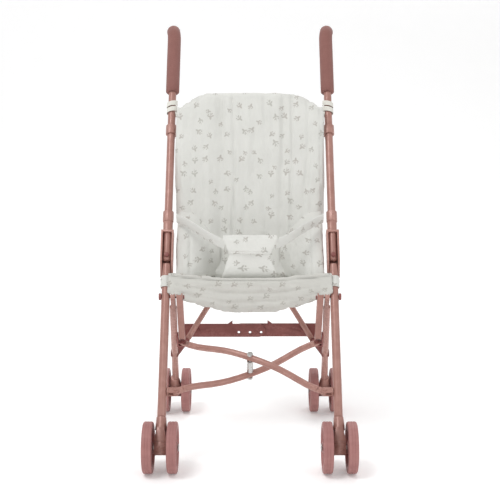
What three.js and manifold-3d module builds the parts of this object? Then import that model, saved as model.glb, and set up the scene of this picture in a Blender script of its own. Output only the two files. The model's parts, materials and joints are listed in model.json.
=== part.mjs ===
// A doll's umbrella-fold stroller: two tube side frames, three scissor linkages between them,
// four pairs of wheels and a padded fabric seat. Millimetres, +X across, +Y rearwards, +Z up.
import * as THREE from "three";
import { mergeVertices } from "three/addons/utils/BufferGeometryUtils.js";
import Module from "manifold-3d";

const wasm = await Module();
wasm.setup();

// Driving dimensions of the side frames
const ORIGIN_Y = 171.16; // front axle to the middle of the footprint
const REAR_AXLE_Y = 262;
const FRAME_X = 113.5; // centre plane of the push and front tubes
const FRAME_ANGLE = 57.5; // degrees above the floor
const TUBE_R = 5.5;
const REAR_TUBE_R = 4.8;
const PIVOT_S = 205; // distances S run along the frame from the front axle
const BRACKET_S = 73;
const FRONT_TUBE_TOP_S = 252;
const PUSH_TUBE_START_S = 256.5;
const PUSH_TUBE_END_S = 525;
const GRIP_STRAIGHT_END_S = 622;
const GRIP_R = 10;
const GRIP_HOOK_R = 20;

// Wheels and the height of their axles
const WHEEL_R = 33;
const WHEEL_SEGMENTS = 26;
const AXLE_Z = WHEEL_R * Math.cos(Math.PI / WHEEL_SEGMENTS); // a flat facet of the tread on the floor
const WHEEL_W = 13;
const WHEEL_OFFSET = 15.5; // from the middle of a pair
const REAR_PAIR_X = 111.5;
const AXLE_R = 2.7;

// Linkages
const REAR_TOP_X = 103.7;
const STRUT_TOP_X = 94.6;
const STRUT_END_X = 92.3;
const STRUT_LENGTH = 56;
const STRUT_ANGLE = -84; // below horizontal, pointing back from the pivot
const CLEVIS_DROP = 12;
const FRONT_EYE_X = 96.5;
const REAR_EYE_X = 91.5;
const BRACE_RISE = 14.5; // each lower bar passes this far from the brace plane
const BRACE_R = 4.4;
const BACK_EYE_X = 90;
const BACK_P_RADIUS = 103; // from the leg pivot, along the rear leg
const BACK_TOP_S = 462;
const BACK_TOP_X = 95;
const BACK_TOP_SET = 14; // behind the push tube's centre line
const BACK_GAP = 4.7;
const BACK_R = 3.8;
const LOCK_Y = 196.5;
const LOCK_Z = 140;
const LOCK_PIN_X = 76;
const LOCK_END_X = 102; // outer ends, next to the rear legs
const LOCK_H = 19;
const LOCK_T = 2.2;
const CLEAR = 0.4;

const rad = THREE.MathUtils.degToRad;
const v3 = (x, y, z) => new THREE.Vector3(x, y, z);

// Solids and booleans
function solid(geometry) {
  const bare = geometry.index ? geometry.toNonIndexed() : geometry.clone();
  bare.deleteAttribute("normal");
  bare.deleteAttribute("uv");
  const merged = mergeVertices(bare, 1e-4);
  return new wasm.Manifold(
    new wasm.Mesh({
      numProp: 3,
      vertProperties: merged.attributes.position.array,
      triVerts: new Uint32Array(merged.index.array),
    }),
  );
}

function geometryOf(manifold) {
  const mesh = manifold.getMesh();
  const g = new THREE.BufferGeometry();
  g.setAttribute("position", new THREE.BufferAttribute(new Float32Array(mesh.vertProperties), 3));
  g.setIndex(new THREE.BufferAttribute(new Uint32Array(mesh.triVerts), 1));
  const flat = g.toNonIndexed();
  flat.computeVertexNormals();
  return flat;
}

const join = (...parts) => parts.reduce((a, b) => a.add(b));
const cut = (body, ...tools) => tools.reduce((a, b) => a.subtract(b), body);

// A cylinder or cone between two points
function rod(from, to, r, r2 = r, segments = 12) {
  const along = to.clone().sub(from);
  const g = new THREE.CylinderGeometry(r2, r, along.length(), segments);
  g.applyQuaternion(new THREE.Quaternion().setFromUnitVectors(v3(0, 1, 0), along.clone().normalize()));
  const mid = from.clone().add(to).multiplyScalar(0.5);
  return solid(g.translate(mid.x, mid.y, mid.z));
}

const rodX = (x0, x1, y, z, r, segments) => rod(v3(x0, y, z), v3(x1, y, z), r, r, segments);
const rodY = (y0, y1, x, z, r, segments) => rod(v3(x, y0, z), v3(x, y1, z), r, r, segments);
const rodZ = (z0, z1, x, y, r, segments) => rod(v3(x, y, z0), v3(x, y, z1), r, r, segments);

// A box by its limits
function box(x0, x1, y0, y1, z0, z1) {
  const g = new THREE.BoxGeometry(x1 - x0, y1 - y0, z1 - z0);
  return solid(g.translate((x0 + x1) / 2, (y0 + y1) / 2, (z0 + z1) / 2));
}

function ball(x, y, z, r) {
  return solid(new THREE.SphereGeometry(r, 16, 8).translate(x, y, z));
}

// A round bar along a smooth curve
function bar(points, r, steps) {
  const section = new THREE.Shape();
  section.absarc(0, 0, r, 0, Math.PI * 2, false);
  const curve = new THREE.CatmullRomCurve3(points, false, "centripetal");
  return solid(
    new THREE.ExtrudeGeometry(section, {
      extrudePath: curve,
      steps,
      curveSegments: 6,
      bevelEnabled: false,
    }),
  );
}

// A flat outline in the YZ plane given thickness along X
function slabYZ(points, x0, x1) {
  const shape = new THREE.Shape(points.map(([y, z]) => new THREE.Vector2(y, z)));
  const g = new THREE.ExtrudeGeometry(shape, { depth: x1 - x0, bevelEnabled: false });
  g.applyMatrix4(new THREE.Matrix4().makeBasis(v3(0, 1, 0), v3(0, 0, 1), v3(1, 0, 0)));
  return solid(g.translate(x0, 0, 0));
}

// A flat outline in the XZ plane given thickness along Y
function slabXZ(points, y0, y1) {
  const shape = new THREE.Shape(points.map(([x, z]) => new THREE.Vector2(x, z)));
  const g = new THREE.ExtrudeGeometry(shape, { depth: y1 - y0, bevelEnabled: false });
  g.applyMatrix4(new THREE.Matrix4().makeBasis(v3(1, 0, 0), v3(0, 0, 1), v3(0, -1, 0)));
  return solid(g.translate(0, y1, 0));
}

// Materials
const paint = (color, roughness, metalness) =>
  new THREE.MeshStandardMaterial({ color, roughness, metalness });
const FRAME_PAINT = paint(0xb07c73, 0.42, 0.15);
const BRACE_PAINT = paint(0x84504a, 0.48, 0.15);
const WHEEL_PLASTIC = paint(0xb07d76, 0.6, 0);
const GRIP_FOAM = paint(0x9b6b64, 0.75, 0);
const ZINC = paint(0xc4c4c2, 0.32, 0.9);
const FABRIC = paint(0xe4e2dc, 0.9, 0);

const stroller = new THREE.Group();
stroller.position.y = -ORIGIN_Y;

function piece(parent, name, material, manifold) {
  const mesh = new THREE.Mesh(geometryOf(manifold), material);
  mesh.name = name;
  parent.add(mesh);
}

// Points of the side view, as [y, z] from the front axle's foot point
const onFrame = (s) => [s * Math.cos(rad(FRAME_ANGLE)), AXLE_Z + s * Math.sin(rad(FRAME_ANGLE))];
const [PIVOT_Y, PIVOT_Z] = onFrame(PIVOT_S);
const LEG_ANGLE = Math.atan2(PIVOT_Z - AXLE_Z, REAR_AXLE_Y - PIVOT_Y);
const LEG_LENGTH = Math.hypot(PIVOT_Z - AXLE_Z, REAR_AXLE_Y - PIVOT_Y);
const legX = (d) => REAR_TOP_X + ((REAR_PAIR_X - REAR_TOP_X) * d) / LEG_LENGTH;
const [BRACKET_Y, BRACKET_Z] = onFrame(BRACKET_S);
const STRUT_PIN_Y = PIVOT_Y + STRUT_LENGTH * Math.cos(rad(STRUT_ANGLE));
const STRUT_PIN_Z = PIVOT_Z + STRUT_LENGTH * Math.sin(rad(STRUT_ANGLE));
// The brace plane runs from the front bracket pin and passes CLEVIS_DROP under the strut pin
const BRACE_CHORD = Math.hypot(STRUT_PIN_Y - BRACKET_Y, STRUT_PIN_Z - BRACKET_Z);
const BRACE_TILT =
  Math.atan2(STRUT_PIN_Z - BRACKET_Z, STRUT_PIN_Y - BRACKET_Y) - Math.asin(CLEVIS_DROP / BRACE_CHORD);
const BRACE_RUN = Math.sqrt(BRACE_CHORD ** 2 - CLEVIS_DROP ** 2);
const BACK_P_Y = PIVOT_Y + BACK_P_RADIUS * Math.cos(LEG_ANGLE);
const BACK_P_Z = PIVOT_Z - BACK_P_RADIUS * Math.sin(LEG_ANGLE);
const BACK_T_Y = onFrame(BACK_TOP_S)[0] + BACK_TOP_SET * Math.sin(rad(FRAME_ANGLE));
const BACK_T_Z = onFrame(BACK_TOP_S)[1] - BACK_TOP_SET * Math.cos(rad(FRAME_ANGLE));
const BACK_RUN = Math.hypot(BACK_T_Y - BACK_P_Y, BACK_T_Z - BACK_P_Z);
const BACK_TILT = Math.atan2(BACK_T_Z - BACK_P_Z, BACK_T_Y - BACK_P_Y);

// A clevis that swivels on a pin along X and holds a bar's flat eye on a pin across its plane.
// x grows outwards. The eye lies drop below the swivel pin.
function clevis({ eyeX, webX, drop, pinFrom, pinTo, pinR }) {
  const lipR = 4.6;
  const lipIn = 1.5 + CLEAR;
  const lipOut = lipIn + 1.7;
  const web = join(
    rodX(webX, webX + 2, 0, 0, 5),
    box(webX, webX + 2, -lipR, lipR, Math.min(0, drop) - lipOut, Math.max(0, drop) + lipOut),
  );
  const lips = [-1, 1].map((side) => {
    const z0 = drop + (side > 0 ? lipIn : -lipOut);
    const z1 = drop + (side > 0 ? lipOut : -lipIn);
    return join(rodZ(z0, z1, eyeX, 0, lipR, 12), box(eyeX, webX + 1, -lipR, lipR, z0, z1));
  });
  const eyePin = rodZ(drop - lipOut - 1.2, drop + lipOut + 1.2, eyeX, 0, 1.5, 8);
  const heads = [-1, 1].map((side) =>
    rodZ(drop + side * lipOut - 0.2 * side, drop + side * (lipOut + 1.2), eyeX, 0, 2.7, 8),
  );
  return join(web, ...lips, eyePin, ...heads, rodX(pinFrom, pinTo, 0, 0, pinR, 12));
}

// A wheel about the X axis: rounded tread, dished sides and a hub boss
function wheel(x) {
  const half = WHEEL_W / 2;
  const profile = [
    [AXLE_R + 0.3, -half],
    [8, -half],
    [9.5, -half + 3],
    [24, -half + 3],
    [WHEEL_R - 1.4, -half + 0.3],
    [WHEEL_R, -3.6],
    [WHEEL_R, 3.6],
    [WHEEL_R - 1.4, half - 0.3],
    [24, half - 3],
    [9.5, half - 3],
    [8, half],
    [AXLE_R + 0.3, half],
    [AXLE_R + 0.3, -half],
  ].map(([r, a]) => new THREE.Vector2(r, a));
  const g = new THREE.LatheGeometry(profile, WHEEL_SEGMENTS);
  g.rotateY(Math.PI / WHEEL_SEGMENTS).rotateZ(-Math.PI / 2);
  return solid(g.translate(x, 0, 0));
}

function axle(x) {
  const reach = WHEEL_OFFSET + WHEEL_W / 2 + 0.3;
  return join(
    rodX(x - reach - 0.2, x + reach + 0.2, 0, 0, AXLE_R, 12),
    rodX(x - reach - 1.6, x - reach, 0, 0, 5, 16),
    rodX(x + reach, x + reach + 1.6, 0, 0, 5, 16),
  );
}

function wheelBlock(x, top, tubeR) {
  const body = join(
    rodX(x - 4.6, x + 4.6, 0, 0, 10),
    box(x - 4.6, x + 4.6, -7.5, 7.5, 0, top - 14),
    rod(v3(x, 0, top - 16), v3(x, 0, top), 7.6, tubeR + 0.9),
  );
  return cut(body, rodX(x - 20, x + 20, 0, 0, AXLE_R + 0.35, 12));
}

function wheelSet(side, end, x) {
  const set = new THREE.Group();
  piece(set, `${side}_${end}_wheel_outer`, WHEEL_PLASTIC, wheel(x + WHEEL_OFFSET));
  piece(set, `${side}_${end}_wheel_inner`, WHEEL_PLASTIC, wheel(x - WHEEL_OFFSET));
  piece(set, `${side}_${end}_axle`, ZINC, axle(x));
  return set;
}

// The push tube, front tube and everything fixed to them. Local z runs up the tubes.
function sideFrame(side) {
  const frame = new THREE.Group();
  frame.position.z = AXLE_Z;
  frame.rotation.x = rad(FRAME_ANGLE - 90);
  const blockTop = 39;
  piece(frame, `${side}_front_block`, FRAME_PAINT, wheelBlock(FRAME_X, blockTop, TUBE_R));
  const frontTube = cut(
    rodZ(blockTop + CLEAR, FRONT_TUBE_TOP_S, FRAME_X, 0, TUBE_R, 16),
    rodX(FRAME_X - 9, FRAME_X + 9, 0, PIVOT_S, 2.6, 12),
    rodX(FRAME_X - 9, FRAME_X, 0, BRACKET_S, 2.2, 12),
  );
  piece(frame, `${side}_front_tube`, FRAME_PAINT, frontTube);
  const pushTube = join(
    rodZ(PUSH_TUBE_START_S + TUBE_R, PUSH_TUBE_END_S, FRAME_X, 0, TUBE_R, 16),
    solid(
      new THREE.SphereGeometry(TUBE_R, 16, 8)
        .rotateX(Math.PI / 2)
        .translate(FRAME_X, 0, PUSH_TUBE_START_S + TUBE_R),
    ),
  );
  piece(frame, `${side}_push_tube`, FRAME_PAINT, pushTube);

  // U channel open to the front, a neck and a collar above it
  const channelTop = 301;
  const flange = 8.6;
  const outline = [
    [9, 236],
    [4, 236],
    [-8, 255],
    [-8, channelTop],
    [9, channelTop],
  ];
  const midJoint = cut(
    join(
      slabYZ(outline, FRAME_X - flange, FRAME_X + flange),
      rodZ(channelTop - 1, 317, FRAME_X, 0, 6.7),
      rodZ(316, 331, FRAME_X, 0, 7.5),
    ),
    box(FRAME_X - 6.1, FRAME_X + 6.1, -10, 6.1, 230, channelTop - 3),
    rodZ(channelTop - 4, 335, FRAME_X, 0, TUBE_R + CLEAR),
  );
  piece(frame, `${side}_mid_joint`, FRAME_PAINT, midJoint);
  const screw = join(
    rodY(-7.6, -TUBE_R - 0.3, FRAME_X, 264, 3.4, 12),
    rodY(-8.3, -7.5, FRAME_X, 264, 2.4, 12),
  );
  piece(frame, `${side}_mid_screw`, ZINC, screw);

  // Through bolt of the leg pivot
  const inner = STRUT_TOP_X - 4.3;
  const bolt = join(
    rodX(FRAME_X + TUBE_R + CLEAR, FRAME_X + TUBE_R + 3.6, 0, PIVOT_S, 4.7, 16),
    rodX(inner - 1.4, FRAME_X + TUBE_R + 1, 0, PIVOT_S, 2.2, 12),
    rodX(inner - 2.2, inner - 0.4, 0, PIVOT_S, 4, 12),
  );
  piece(frame, `${side}_pivot_bolt`, BRACE_PAINT, bolt);

  // Hooked grip
  const turn = 68;
  const arcSteps = 6;
  const hook = [
    v3(FRAME_X, 0, PUSH_TUBE_END_S + CLEAR),
    v3(FRAME_X, 0, 575),
    v3(FRAME_X, 0, GRIP_STRAIGHT_END_S),
  ];
  for (let i = 1; i <= arcSteps; i++) {
    const a = rad((turn * i) / arcSteps);
    hook.push(
      v3(
        FRAME_X + (2.5 * i) / arcSteps,
        GRIP_HOOK_R * (1 - Math.cos(a)),
        GRIP_STRAIGHT_END_S + GRIP_HOOK_R * Math.sin(a),
      ),
    );
  }
  const last = hook[hook.length - 1];
  const run = v3(0.1, Math.sin(rad(turn)), Math.cos(rad(turn))).normalize();
  const end = last.clone().addScaledVector(run, 11);
  hook.push(end);
  piece(frame, `${side}_grip`, GRIP_FOAM, join(bar(hook, GRIP_R, 14), ball(end.x, end.y, end.z, GRIP_R)));

  // Lug on the push tube beside the top end of a back bar
  const lug = cut(
    join(
      rodZ(BACK_TOP_S - 7, BACK_TOP_S + 7, FRAME_X, 0, 7.8),
      box(FRAME_X - 18, FRAME_X, 12.6, 14, BACK_TOP_S - 3, BACK_TOP_S + 6),
      box(FRAME_X - 5, FRAME_X + 5, 5, 14, BACK_TOP_S - 6, BACK_TOP_S + 6),
    ),
    rodZ(BACK_TOP_S - 9, BACK_TOP_S + 9, FRAME_X, 0, TUBE_R + CLEAR),
  );
  piece(frame, `${side}_back_lug`, BRACE_PAINT, lug);
  return frame;
}

// The rear leg, from its eye at the leg pivot down to the wheel block. Local -z runs down the leg.
function rearLeg(side) {
  const leg = new THREE.Group();
  leg.position.set(0, PIVOT_Y, PIVOT_Z);
  leg.rotation.x = Math.PI / 2 - LEG_ANGLE;
  const blockTop = LEG_LENGTH - 34;
  const tube = cut(
    join(
      rodX(REAR_TOP_X - 3, REAR_TOP_X + 3, 0, 0, 6.5),
      box(REAR_TOP_X - 3, REAR_TOP_X + 3, -5.6, 5.6, -26, 0),
      rod(v3(legX(22), 0, -22), v3(legX(blockTop - CLEAR), 0, -blockTop + CLEAR), REAR_TUBE_R, REAR_TUBE_R),
    ),
    rodX(REAR_TOP_X - 9, REAR_TOP_X + 9, 0, 0, 2.6, 12),
    rodX(90, legX(BACK_P_RADIUS), 0, -BACK_P_RADIUS, 2.2, 12),
  );
  piece(leg, `${side}_rear_tube`, FRAME_PAINT, tube);
  return leg;
}

for (const [side, mirror] of [
  ["left", -1],
  ["right", 1],
]) {
  const half = new THREE.Group();
  half.scale.x = mirror;
  stroller.add(half);
  half.add(sideFrame(side), rearLeg(side));

  const rearBlock = new THREE.Group();
  rearBlock.position.set(0, REAR_AXLE_Y, AXLE_Z);
  rearBlock.rotation.x = Math.PI / 2 - LEG_ANGLE;
  piece(rearBlock, `${side}_rear_block`, FRAME_PAINT, wheelBlock(REAR_PAIR_X, 34, REAR_TUBE_R));
  half.add(rearBlock);

  const front = wheelSet(side, "front", FRAME_X);
  front.position.set(0, 0, AXLE_Z);
  const rear = wheelSet(side, "rear", REAR_PAIR_X);
  rear.position.set(0, REAR_AXLE_Y, AXLE_Z);
  half.add(front, rear);

  // Side strut: a channel with two flanges, hung on the leg pivot. Local -z runs down it.
  const strutGroup = new THREE.Group();
  strutGroup.position.set(0, PIVOT_Y, PIVOT_Z);
  strutGroup.rotation.x = rad(90 + STRUT_ANGLE);
  const lean = Math.atan((STRUT_TOP_X - STRUT_END_X) / STRUT_LENGTH);
  const outline = new THREE.Shape();
  outline.absarc(0, 0, 5.5, 0, Math.PI, false);
  outline.absarc(0, -STRUT_LENGTH, 4.9, Math.PI, Math.PI * 2, false);
  const plate = new THREE.ExtrudeGeometry(outline, { depth: 8.4, bevelEnabled: false, curveSegments: 6 });
  plate.applyMatrix4(new THREE.Matrix4().makeBasis(v3(0, 1, 0), v3(0, 0, 1), v3(1, 0, 0)));
  plate.translate(-4.2, 0, 0).rotateY(lean).translate(STRUT_TOP_X, 0, 0);
  const strut = cut(
    solid(plate),
    solid(
      new THREE.BoxGeometry(5.2, 12, STRUT_LENGTH + 30)
        .translate(0, 1.9, -STRUT_LENGTH / 2)
        .rotateY(lean)
        .translate(STRUT_TOP_X, 0, 0),
    ),
    rodX(80, 110, 0, 0, 2.6, 12),
  );
  piece(strutGroup, `${side}_strut`, FRAME_PAINT, strut);
  half.add(strutGroup);

  const strutClevis = new THREE.Group();
  strutClevis.position.set(0, STRUT_PIN_Y, STRUT_PIN_Z);
  strutClevis.rotation.x = BRACE_TILT;
  const outerFace = STRUT_END_X + 4.2 + 0.9;
  piece(
    strutClevis,
    `${side}_strut_clevis`,
    BRACE_PAINT,
    clevis({
      eyeX: REAR_EYE_X,
      webX: outerFace,
      drop: -CLEVIS_DROP,
      pinFrom: outerFace + 1,
      pinTo: outerFace + 2.3,
      pinR: 2.8,
    }),
  );
  half.add(strutClevis);

  const lowBracket = new THREE.Group();
  lowBracket.position.set(0, BRACKET_Y, BRACKET_Z);
  lowBracket.rotation.x = BRACE_TILT;
  piece(
    lowBracket,
    `${side}_low_bracket`,
    FRAME_PAINT,
    clevis({
      eyeX: FRONT_EYE_X,
      webX: FRAME_X - TUBE_R - 2.4,
      drop: 0,
      pinFrom: FRAME_X - TUBE_R - 1,
      pinTo: FRAME_X - 1,
      pinR: 1.8,
    }),
  );
  half.add(lowBracket);

  const backClevis = new THREE.Group();
  backClevis.position.set(0, BACK_P_Y, BACK_P_Z);
  backClevis.rotation.x = BACK_TILT;
  piece(
    backClevis,
    `${side}_back_clevis`,
    BRACE_PAINT,
    clevis({
      eyeX: BACK_EYE_X,
      webX: legX(BACK_P_RADIUS) - REAR_TUBE_R - 2.5,
      drop: -mirror * BACK_GAP,
      pinFrom: legX(BACK_P_RADIUS) - REAR_TUBE_R - 1,
      pinTo: legX(BACK_P_RADIUS) - 1,
      pinR: 1.8,
    }),
  );
  half.add(backClevis);

  // Gusset plate that carries one end of the lock bar, with a saddle behind the rear leg
  const gussetY = LOCK_Y + 7;
  const legAt = (d) => v3(legX(d), PIVOT_Y + d * Math.cos(LEG_ANGLE), PIVOT_Z - d * Math.sin(LEG_ANGLE));
  const gusset = join(
    slabXZ(
      [
        [LOCK_PIN_X - 5, LOCK_Z - 6],
        [LOCK_PIN_X + 5, LOCK_Z - 9],
        [103, 101],
        [113, 101],
        [113, 110],
        [106, 113],
        [LOCK_PIN_X + 9, LOCK_Z + 1],
        [LOCK_PIN_X + 4, LOCK_Z + 7],
        [LOCK_PIN_X - 4, LOCK_Z + 7],
      ],
      gussetY,
      gussetY + 2,
    ),
    box(103, 114, gussetY - 8, gussetY + 1, 101, 110),
    rodY(LOCK_Y - LOCK_T - 3.4, gussetY + 1, LOCK_PIN_X, LOCK_Z, 1.9),
    rodY(LOCK_Y - LOCK_T - 3.4, LOCK_Y - LOCK_T - 2.2, LOCK_PIN_X, LOCK_Z, 3.4),
  );
  const legRoom = rod(legAt(90), legAt(180), REAR_TUBE_R + CLEAR, REAR_TUBE_R + CLEAR, 16);
  piece(half, `${side}_lock_gusset`, BRACE_PAINT, cut(gusset, legRoom));
}

// Lower scissor brace. Local y runs up the brace plane, local z is its normal.
const brace = new THREE.Group();
const braceFront = (BRACE_RUN * FRONT_EYE_X) / (FRONT_EYE_X + REAR_EYE_X);
brace.position.set(
  0,
  BRACKET_Y + braceFront * Math.cos(BRACE_TILT),
  BRACKET_Z + braceFront * Math.sin(BRACE_TILT),
);
brace.rotation.x = BRACE_TILT;

// A bar with a flat eye at each end. ends are [x, y, z], between are the bends.
function eyedBar(ends, between, r, steps, boltR) {
  const eyes = ends.map((end, i) => {
    const next = i ? between[between.length - 1] : between[0];
    const d = next.clone().sub(end).setZ(0).normalize();
    const blade = new THREE.BoxGeometry(13, 2 * r, 3).translate(6.5, 0, 0);
    blade.rotateZ(Math.atan2(d.y, d.x)).translate(end.x, end.y, end.z);
    return join(rodZ(end.z - 1.5, end.z + 1.5, end.x, end.y, r), solid(blade));
  });
  const body = join(bar(between, r, steps), ...eyes);
  const holes = ends.map((end) => rodZ(end.z - 8, end.z + 8, end.x, end.y, boltR, 12));
  return cut(body, ...holes);
}

function lowerBar(mirror, rise) {
  const rear = v3(-REAR_EYE_X, BRACE_RUN - braceFront, 0);
  const front = v3(FRONT_EYE_X, -braceFront, 0);
  const at = (t, z) => rear.clone().lerp(front, t).setZ(z);
  const bends = [
    at(0.05, 0),
    at(0.12, rise * 0.12),
    at(0.3, rise * 0.8),
    at(0.4, rise),
    at(0.6, rise),
    at(0.72, rise * 0.75),
    at(0.88, rise * 0.12),
    at(0.95, 0),
  ];
  const flip = (p) => v3(p.x * mirror, p.y, p.z);
  return cut(
    eyedBar([rear, front].map(flip), bends.map(flip), BRACE_R, 14, 1.9),
    rodZ(rise - 9, rise + 9, 0, 0, 2.4, 16),
  );
}
piece(brace, "lower_bar_upper", FRAME_PAINT, lowerBar(1, BRACE_RISE));
piece(brace, "lower_bar_under", FRAME_PAINT, lowerBar(-1, -BRACE_RISE));
const spacerHalf = BRACE_RISE - BRACE_R - 0.6;
const boltHalf = BRACE_RISE + BRACE_R + 0.6;
const centreBolt = join(
  rodZ(-spacerHalf, spacerHalf, 0, 0, 4.4, 12),
  rodZ(-boltHalf - 1, boltHalf + 1, 0, 0, 2, 16),
  rodZ(boltHalf, boltHalf + 2.6, 0, 0, 4, 12),
  rodZ(-boltHalf - 3.2, -boltHalf, 0, 0, 4.2, 6),
);
piece(brace, "lower_bolt", ZINC, centreBolt);
stroller.add(brace);

// Back scissor bars, one in front of the other. Local y runs up the back plane.
const back = new THREE.Group();
back.position.set(0, BACK_P_Y, BACK_P_Z);
back.rotation.x = BACK_TILT;
function backBar(mirror) {
  const z = -mirror * BACK_GAP;
  const low = v3(BACK_EYE_X * mirror, 0, z);
  const top = v3(-BACK_TOP_X * mirror, BACK_RUN, z);
  const at = (t) => low.clone().lerp(top, t);
  const bends = [at(0.03), at(0.3), at(0.6), at(0.97)];
  return eyedBar([low, top], bends, BACK_R, 3, 1.9);
}
piece(back, "back_bar_left", FRAME_PAINT, backBar(-1));
piece(back, "back_bar_right", FRAME_PAINT, backBar(1));
const crossY = (BACK_RUN * BACK_EYE_X) / (BACK_EYE_X + BACK_TOP_X);
const rivetBase = BACK_GAP + BACK_R + CLEAR;
piece(
  back,
  "back_rivet",
  ZINC,
  join(
    rodZ(rivetBase, rivetBase + 1.2, 0, crossY, 3.6, 16),
    rodZ(rivetBase, rivetBase + 2, 0, crossY, 2.2),
  ),
);
stroller.add(back);

// Lock bar halves: flat plates that overlap at the middle
function lockHalf(mirror, y) {
  const r = LOCK_H / 2;
  const reach = 22;
  const plate = join(
    box(r - LOCK_END_X, reach - r, y - LOCK_T / 2, y + LOCK_T / 2, LOCK_Z - r, LOCK_Z + r),
    rodY(y - LOCK_T / 2, y + LOCK_T / 2, r - LOCK_END_X, LOCK_Z, r, 20),
    rodY(y - LOCK_T / 2, y + LOCK_T / 2, reach - r, LOCK_Z, r, 20),
    slabXZ(
      [
        [-33, LOCK_Z + r - 1],
        [-25, LOCK_Z + r - 1],
        [-25, LOCK_Z + r + 5],
      ],
      y - LOCK_T / 2,
      y + LOCK_T / 2,
    ),
  );
  const holes = [-16, 0, 16].map((x) => rodY(y - 5, y + 5, x, LOCK_Z - 3, 2, 12));
  const made = cut(plate, rodY(y - 5, y + 5, -LOCK_PIN_X, LOCK_Z, 2.3, 12), ...holes);
  return mirror > 0 ? made : made.mirror([1, 0, 0]);
}
piece(stroller, "lock_bar_left", BRACE_PAINT, lockHalf(1, LOCK_Y - LOCK_T / 2 - 0.6));
piece(stroller, "lock_bar_right", BRACE_PAINT, lockHalf(-1, LOCK_Y + LOCK_T / 2 + 0.1));

// Fabric seat: padded back and pan, side panels, front band, belts and tie loops
const CLOTH_T = 14;
const BAND_FRONT = -15.5;
const BAND_BACK = -6.4;

// A closed solid through rings of `per` points, each ring anticlockwise as seen from above
function skinned(positions, per) {
  const index = [];
  const top = positions.length / 3 - per;
  for (let r = 0; r < top; r += per) {
    for (let i = 0; i < per; i++) {
      const a = r + i;
      const b = r + ((i + 1) % per);
      index.push(a, b, b + per, a, b + per, a + per);
    }
  }
  for (let i = 1; i + 1 < per; i++) {
    index.push(0, i + 1, i);
    index.push(top, top + i, top + i + 1);
  }
  const g = new THREE.BufferGeometry();
  g.setAttribute("position", new THREE.Float32BufferAttribute(positions, 3));
  g.setIndex(index);
  return solid(g);
}

// Rounded-rectangle sections, each [x half width, front y, z]
function lofted(sections, thickness, corner) {
  const per = 12;
  const positions = [];
  for (const [half, y0, z] of sections) {
    for (let i = 0; i < per; i++) {
      const quarter = Math.floor(i / 3);
      const a = (quarter * Math.PI) / 2 + ((i % 3) * Math.PI) / 4;
      const cx = quarter === 0 || quarter === 3 ? half - corner : corner - half;
      const cy = quarter < 2 ? y0 + thickness - corner : y0 + corner;
      positions.push(cx + corner * Math.cos(a), cy + corner * Math.sin(a), z);
    }
  }
  return skinned(positions, per);
}

const backSections = [
  [94, 172, 206],
  [95, 184, 240],
  [95, 198, 300],
  [98, 214, 345],
  [104, 229, 400],
  [104.5, 246, 445],
  [100, 256, 462],
  [78, 264, 474],
];
piece(stroller, "seat_back_pad", FABRIC, lofted(backSections, CLOTH_T, 5.5));

const panOutline = [
  [112, 213],
  [112, 197],
  [166, 182],
  [178, 184],
  [178, 200],
  [170, 203],
  [118, 220],
];
piece(stroller, "seat_pan_pad", FABRIC, slabYZ(panOutline, -86, 86));

// Side panels: from the push tube inwards and back to the seat's corner. Each row is
// [outer x, outer y, inner x, inner y, z].
const PANEL_T = 4.5;
const panelRows = [
  [103.5, 127, 43, 170, 226],
  [103.5, 148, 39, 181, 258],
  [103.5, 174, 62, 193, 300],
  [103.5, 197, 90, 207, 340],
];
const panelRings = panelRows.flatMap(([outerX, outerY, innerX, innerY, z]) => [
  ...[outerX, outerY, z],
  ...[outerX, outerY + PANEL_T, z],
  ...[innerX, innerY + PANEL_T, z],
  ...[innerX, innerY, z],
]);

// Waist belts: flat straps from the push tubes to the corners of the strap's pad
const BELT_W = 12;
const BELT_T = 3.2;
const beltOuter = v3(97, 162, 302);
const beltInner = v3(43, 121, 279);
const beltRun = beltOuter.clone().sub(beltInner);
const beltY = beltRun.clone().normalize();
const beltZ = v3(0, 0, 1).cross(beltY).normalize();
const beltX = beltY.clone().cross(beltZ);
const beltMiddle = beltOuter.clone().lerp(beltInner, 0.5);
const beltPlace = new THREE.Matrix4().makeBasis(beltX, beltY, beltZ).setPosition(beltMiddle);
for (const [side, mirror] of [
  ["left", -1],
  ["right", 1],
]) {
  const half = new THREE.Group();
  half.scale.x = mirror;
  stroller.add(half);
  piece(half, `${side}_side_panel`, FABRIC, skinned(panelRings, 4));
  const belt = new THREE.BoxGeometry(BELT_W, beltRun.length(), BELT_T).applyMatrix4(beltPlace);
  piece(half, `${side}_waist_belt`, FABRIC, solid(belt));
  const loops = new THREE.Group();
  loops.position.z = AXLE_Z;
  loops.rotation.x = rad(FRAME_ANGLE - 90);
  half.add(loops);
  const loop = cut(rodZ(484, 510, FRAME_X, 0, 7.6, 16), rodZ(480, 514, FRAME_X, 0, TUBE_R + CLEAR, 16));
  piece(loops, `${side}_tie_loop`, FABRIC, loop);
}
const strapPadOutline = [
  [-28.5, 262],
  [28.5, 262],
  [39.5, 289],
  [-39.5, 289],
];
const strapPad = slabXZ(strapPadOutline, 114, 119);
const strapFlap = box(-22, 22, 114, 119, 246, 263);
piece(stroller, "crotch_strap", FABRIC, join(strapPad, strapFlap));

const frameCloth = new THREE.Group();
frameCloth.position.z = AXLE_Z;
frameCloth.rotation.x = rad(FRAME_ANGLE - 90);
stroller.add(frameCloth);
const bandOutline = [
  [-112, 203],
  [-60, 188],
  [0, 180],
  [60, 188],
  [112, 203],
  [112, 232],
  [106, 237],
  [-106, 237],
  [-112, 232],
];
piece(frameCloth, "seat_front_band", FABRIC, slabXZ(bandOutline, BAND_FRONT, BAND_BACK));

export default stroller;
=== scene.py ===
import json
import math

import bmesh
import bpy
import numpy as np
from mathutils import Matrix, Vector, noise


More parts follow.
